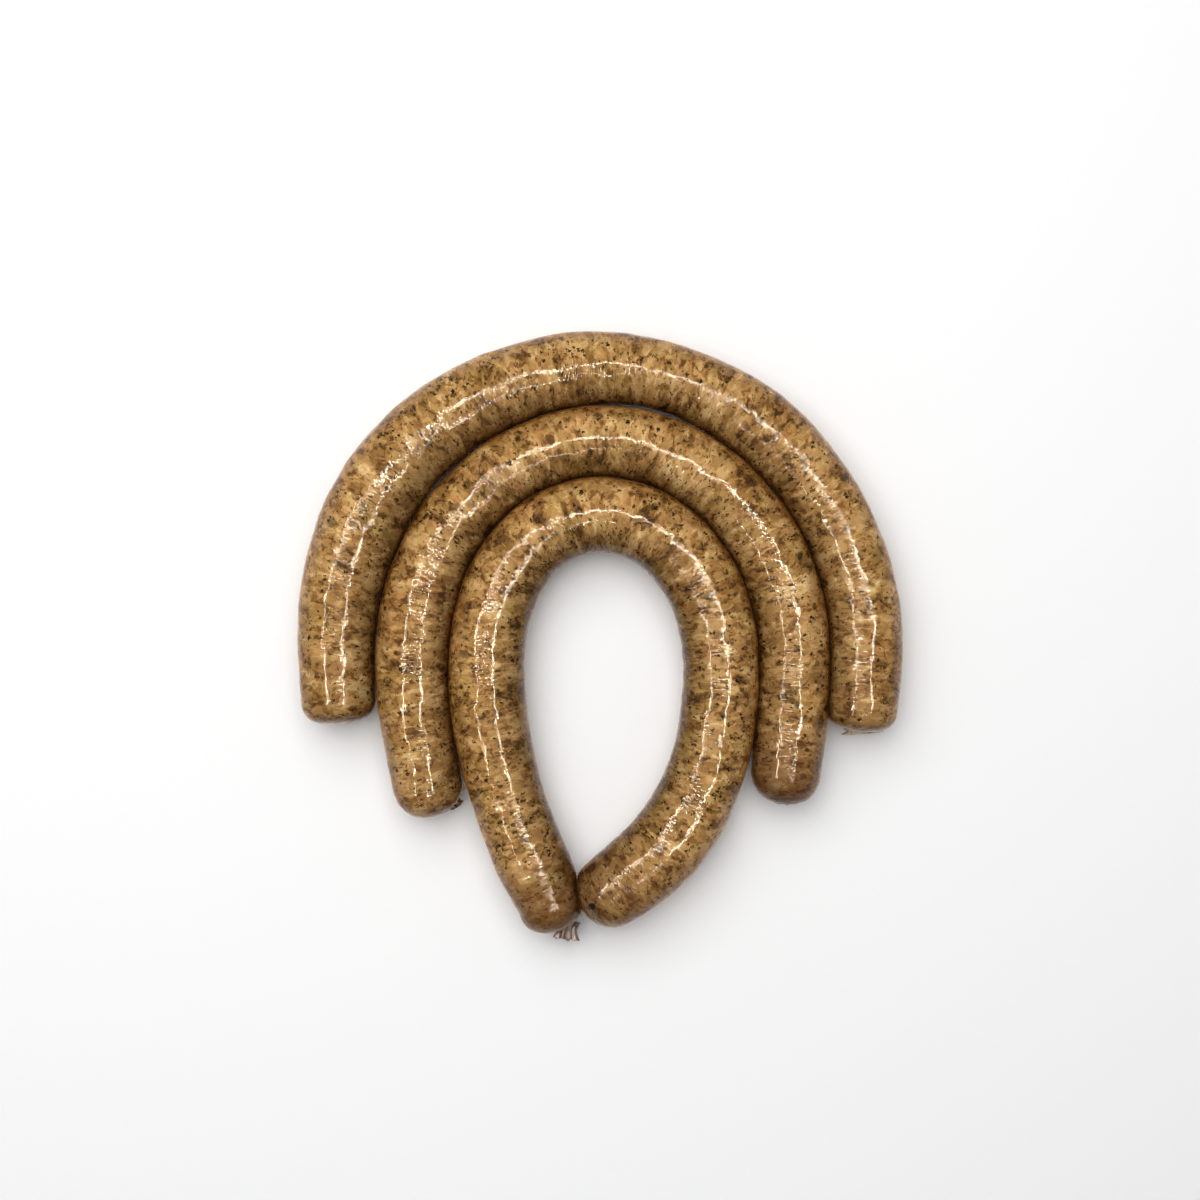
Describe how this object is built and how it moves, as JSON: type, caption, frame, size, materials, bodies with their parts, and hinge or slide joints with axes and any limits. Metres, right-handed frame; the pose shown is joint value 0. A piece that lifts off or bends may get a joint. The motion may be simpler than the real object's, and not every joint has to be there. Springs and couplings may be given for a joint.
{
  "type": "string of sausage links",
  "caption": "Long cooked sausage links in glossy natural casing, bent into nested arches that touch, with gathered pleated ends.",
  "frame": {"origin": "on the surface that the links rest on, under the middle of the group's bounding box", "axes": "+Z up, away from the surface that the links rest on; +Y towards the closed tops of the arches; +X to the right seen from above with +Y up"},
  "size_m": [0.2118, 0.2143, 0.0287],
  "materials": {
    "outer_casing": "wet glossy casing over mottled tan and brown meat with dark herb flecks",
    "middle_casing": "wet glossy casing over mottled tan and brown meat with dark herb flecks, browner at its right end",
    "inner_casing": "wet glossy casing over mottled tan and brown meat with dark herb flecks"
  },
  "bodies": {
    "root": {"outer_link": "outer_casing", "middle_link": "middle_casing", "inner_link": "inner_casing"}
  },
  "joints": []
}
